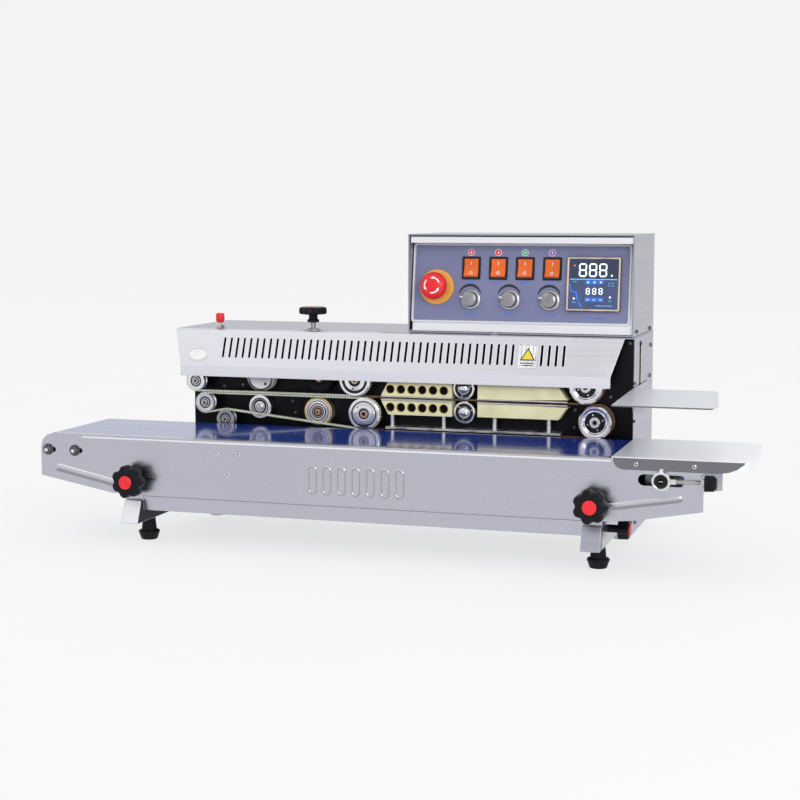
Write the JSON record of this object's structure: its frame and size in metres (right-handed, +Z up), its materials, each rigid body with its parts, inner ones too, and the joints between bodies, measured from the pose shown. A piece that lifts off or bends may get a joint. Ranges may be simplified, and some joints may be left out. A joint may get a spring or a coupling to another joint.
{
  "type": "continuous band sealer",
  "caption": "Bench-top continuous band sealer with a belt conveyor, a band sealing head behind it and a control box.",
  "frame": {"origin": "centre of the bounding box's footprint, on the bench under the rubber feet", "axes": "+X along the conveyor towards the infeed table, +Y from the operator towards the head, +Z up"},
  "size_m": [0.9486, 0.4046, 0.413],
  "materials": {
    "stainless": "brushed along its length",
    "chromed": "polished",
    "black_paint": "semi-gloss",
    "black_plastic": "fine grain",
    "red_plastic": "gloss",
    "orange_plastic": "gloss",
    "grey_knob": "satin",
    "cream_block": "matt",
    "seal_band": "coated glass cloth",
    "guide_belt": "matt, toothed",
    "blue_belt": "smooth and glossy",
    "black_rubber": "matt",
    "cast_metal": "cast"
  },
  "bodies": {
    "head": {"housing": "stainless", "base_plate": "black_paint", "top_plate": "stainless", "control_box": "stainless", "control_panel": "stainless", "temperature_controller": "black_plastic", "conveyor_stand": "stainless", "foot_left": "black_rubber", "foot_right": "black_rubber", "heating_block_upper": "cream_block", "heating_block_lower": "cream_block", "cooling_block_upper": "cream_block", "cooling_block_lower": "cream_block", "block_support": "black_paint", "block_hanger": "black_paint", "seal_band_upper": "seal_band", "seal_band_lower": "seal_band", "guide_belt_upper": "guide_belt", "guide_belt_lower": "guide_belt", "upper_guide_plate": "stainless", "main_gearmotor": "cast_metal", "cooling_fan_frame": "black_plastic", "power_inlet": "black_plastic"},
    "conveyor": {"conveyor_front_rail": "stainless", "conveyor_rear_rail": "stainless", "slider_bed": "stainless", "conveyor_belt": "blue_belt", "infeed_table": "stainless", "conveyor_gearmotor": "black_plastic"},
    "take_up": {"take_up_block": "chromed"},
    "take_up_screw": {"take_up_screw": "black_plastic"},
    "drive_roller": {"drive_roller": "chromed"},
    "tension_roller": {"tension_roller": "chromed"},
    "clamp_knob_left": {"clamp_knob_left": "black_plastic"},
    "clamp_knob_right": {"clamp_knob_right": "black_plastic"},
    "front_guard": {"front_guard": "stainless"},
    "outfeed_wheel_upper": {"outfeed_wheel_upper": "chromed"},
    "outfeed_wheel_lower": {"outfeed_wheel_lower": "chromed"},
    "infeed_wheel_upper": {"infeed_wheel_upper": "chromed"},
    "infeed_wheel_lower": {"infeed_wheel_lower": "chromed"},
    "press_roller_upper": {"press_roller_upper": "chromed"},
    "press_roller_lower": {"press_roller_lower": "chromed"},
    "guide_idler_upper": {"guide_idler_upper": "chromed"},
    "guide_idler_lower": {"guide_idler_lower": "chromed"},
    "guide_tension_idler": {"guide_tension_idler": "chromed"},
    "coding_wheel_upper": {"coding_wheel_upper": "chromed"},
    "coding_wheel_lower": {"coding_wheel_lower": "chromed"},
    "ink_wheel_upper": {"ink_wheel_upper": "black_rubber"},
    "ink_wheel_lower": {"ink_wheel_lower": "chromed"},
    "rocker_power": {"rocker_power": "orange_plastic"},
    "rocker_heater": {"rocker_heater": "orange_plastic"},
    "rocker_fan": {"rocker_fan": "orange_plastic"},
    "rocker_drive": {"rocker_drive": "orange_plastic"},
    "speed_knob": {"speed_knob": "grey_knob"},
    "coding_knob": {"coding_knob": "grey_knob"},
    "blower_knob": {"blower_knob": "grey_knob"},
    "stop_button": {"stop_button": "red_plastic"},
    "pressure_knob": {"pressure_knob": "black_plastic"},
    "release_pin": {"release_pin": "red_plastic"}
  },
  "joints": [
    {"name": "conveyor_height", "type": "slide", "parent": "head", "child": "conveyor", "axis": [0, 0, 1], "range_m": [0, 0.02]},
    {"name": "take_up_travel", "type": "slide", "parent": "conveyor", "child": "take_up", "axis": [1, 0, 0], "range_m": [-0.008, 0]},
    {"name": "take_up_screw_turn", "type": "hinge", "parent": "conveyor", "child": "take_up_screw", "pos_m": [0.369, -0.1795, 0.121], "axis": [1, 0, 0], "range_deg": [-180, 180]},
    {"name": "drive_roller_spin", "type": "hinge", "parent": "conveyor", "child": "drive_roller", "pos_m": [-0.455, 0, 0.126], "axis": [0, 1, 0], "continuous": true},
    {"name": "tension_roller_spin", "type": "hinge", "parent": "take_up", "child": "tension_roller", "pos_m": [0.369, 0, 0.121], "axis": [0, 1, 0], "continuous": true},
    {"name": "clamp_knob_left_turn", "type": "hinge", "parent": "conveyor", "child": "clamp_knob_left", "pos_m": [-0.334, -0.19, 0.088], "axis": [0, 1, 0], "range_deg": [0, 180]},
    {"name": "clamp_knob_right_turn", "type": "hinge", "parent": "conveyor", "child": "clamp_knob_right", "pos_m": [0.285, -0.19, 0.088], "axis": [0, 1, 0], "range_deg": [0, 180]},
    {"name": "front_guard_hinge", "type": "hinge", "parent": "head", "child": "front_guard", "pos_m": [0, 0.0235, 0.2755], "axis": [-1, 0, 0], "range_deg": [0, 100]},
    {"name": "outfeed_wheel_upper_spin", "type": "hinge", "parent": "head", "child": "outfeed_wheel_upper", "pos_m": [-0.084, 0.022, 0.21125], "axis": [0, 1, 0], "continuous": true},
    {"name": "outfeed_wheel_lower_spin", "type": "hinge", "parent": "head", "child": "outfeed_wheel_lower", "pos_m": [-0.0705, 0.022, 0.16475], "axis": [0, 1, 0], "continuous": true},
    {"name": "infeed_wheel_upper_spin", "type": "hinge", "parent": "head", "child": "infeed_wheel_upper", "pos_m": [0.24, 0.022, 0.21125], "axis": [0, 1, 0], "continuous": true},
    {"name": "infeed_wheel_lower_spin", "type": "hinge", "parent": "head", "child": "infeed_wheel_lower", "pos_m": [0.253, 0.022, 0.16475], "axis": [0, 1, 0], "continuous": true},
    {"name": "press_roller_upper_spin", "type": "hinge", "parent": "head", "child": "press_roller_upper", "pos_m": [0.0715, 0.022, 0.20425], "axis": [0, 1, 0], "continuous": true},
    {"name": "press_roller_lower_spin", "type": "hinge", "parent": "head", "child": "press_roller_lower", "pos_m": [0.0725, 0.022, 0.17175], "axis": [0, 1, 0], "continuous": true},
    {"name": "guide_idler_upper_spin", "type": "hinge", "parent": "head", "child": "guide_idler_upper", "pos_m": [-0.3235, 0.022, 0.20345], "axis": [0, 1, 0], "continuous": true},
    {"name": "guide_idler_lower_spin", "type": "hinge", "parent": "head", "child": "guide_idler_lower", "pos_m": [-0.3095, 0.022, 0.17255], "axis": [0, 1, 0], "continuous": true},
    {"name": "guide_tension_idler_spin", "type": "hinge", "parent": "head", "child": "guide_tension_idler", "pos_m": [-0.2785, 0.022, 0.15], "axis": [0, 1, 0], "continuous": true},
    {"name": "coding_wheel_upper_spin", "type": "hinge", "parent": "head", "child": "coding_wheel_upper", "pos_m": [-0.2285, 0.022, 0.2105], "axis": [0, 1, 0], "continuous": true},
    {"name": "coding_wheel_lower_spin", "type": "hinge", "parent": "head", "child": "coding_wheel_lower", "pos_m": [-0.2295, 0.022, 0.1685], "axis": [0, 1, 0], "continuous": true},
    {"name": "ink_wheel_upper_spin", "type": "hinge", "parent": "head", "child": "ink_wheel_upper", "pos_m": [-0.1405, 0.022, 0.2115], "axis": [0, 1, 0], "continuous": true},
    {"name": "ink_wheel_lower_spin", "type": "hinge", "parent": "head", "child": "ink_wheel_lower", "pos_m": [-0.142, 0.022, 0.164], "axis": [0, 1, 0], "continuous": true},
    {"name": "rocker_power_tilt", "type": "hinge", "parent": "head", "child": "rocker_power", "pos_m": [0.073, 0.04211, 0.36665], "axis": [1, 0, 0], "range_deg": [0, 14]},
    {"name": "rocker_heater_tilt", "type": "hinge", "parent": "head", "child": "rocker_heater", "pos_m": [0.111, 0.04211, 0.36665], "axis": [1, 0, 0], "range_deg": [0, 14]},
    {"name": "rocker_fan_tilt", "type": "hinge", "parent": "head", "child": "rocker_fan", "pos_m": [0.1482, 0.04211, 0.36665], "axis": [1, 0, 0], "range_deg": [0, 14]},
    {"name": "rocker_drive_tilt", "type": "hinge", "parent": "head", "child": "rocker_drive", "pos_m": [0.1858, 0.04211, 0.36665], "axis": [1, 0, 0], "range_deg": [0, 14]},
    {"name": "speed_knob_turn", "type": "hinge", "parent": "head", "child": "speed_knob", "pos_m": [0.0737, 0.03612, 0.32407], "axis": [0, 0.9903, -0.1392], "range_deg": [-150, 150]},
    {"name": "coding_knob_turn", "type": "hinge", "parent": "head", "child": "coding_knob", "pos_m": [0.1285, 0.03612, 0.32407], "axis": [0, 0.9903, -0.1392], "range_deg": [-150, 150]},
    {"name": "blower_knob_turn", "type": "hinge", "parent": "head", "child": "blower_knob", "pos_m": [0.1838, 0.03612, 0.32407], "axis": [0, 0.9903, -0.1392], "range_deg": [-150, 150]},
    {"name": "stop_button_press", "type": "slide", "parent": "head", "child": "stop_button", "axis": [0, 0.9903, -0.1392], "range_m": [0, 0.004]},
    {"name": "pressure_knob_turn", "type": "hinge", "parent": "head", "child": "pressure_knob", "pos_m": [-0.16, 0.044, 0.3], "axis": [0, 0, 1], "range_deg": [-180, 180]},
    {"name": "release_pin_lift", "type": "slide", "parent": "head", "child": "release_pin", "axis": [0, 0, 1], "range_m": [0, 0.006], "stiffness_N_per_m": 400}
  ],
  "couplings": [
    {"joint": "drive_roller_spin", "follows": "tension_roller_spin", "ratio": 1.2681},
    {"joint": "outfeed_wheel_upper_spin", "follows": "outfeed_wheel_lower_spin", "ratio": -1},
    {"joint": "infeed_wheel_upper_spin", "follows": "outfeed_wheel_lower_spin", "ratio": -1},
    {"joint": "infeed_wheel_lower_spin", "follows": "outfeed_wheel_lower_spin", "ratio": 1},
    {"joint": "press_roller_upper_spin", "follows": "outfeed_wheel_lower_spin", "ratio": -1.4459},
    {"joint": "press_roller_lower_spin", "follows": "outfeed_wheel_lower_spin", "ratio": 1.4459},
    {"joint": "guide_idler_upper_spin", "follows": "outfeed_wheel_lower_spin", "ratio": -1.5552},
    {"joint": "guide_idler_lower_spin", "follows": "outfeed_wheel_lower_spin", "ratio": 1.5552},
    {"joint": "guide_tension_idler_spin", "follows": "outfeed_wheel_lower_spin", "ratio": -1.5552},
    {"joint": "coding_wheel_upper_spin", "follows": "outfeed_wheel_lower_spin", "ratio": -1.1256},
    {"joint": "coding_wheel_lower_spin", "follows": "outfeed_wheel_lower_spin", "ratio": 1.3441},
    {"joint": "ink_wheel_upper_spin", "follows": "outfeed_wheel_lower_spin", "ratio": -1.1146},
    {"joint": "ink_wheel_lower_spin", "follows": "outfeed_wheel_lower_spin", "ratio": 1.1146}
  ]
}
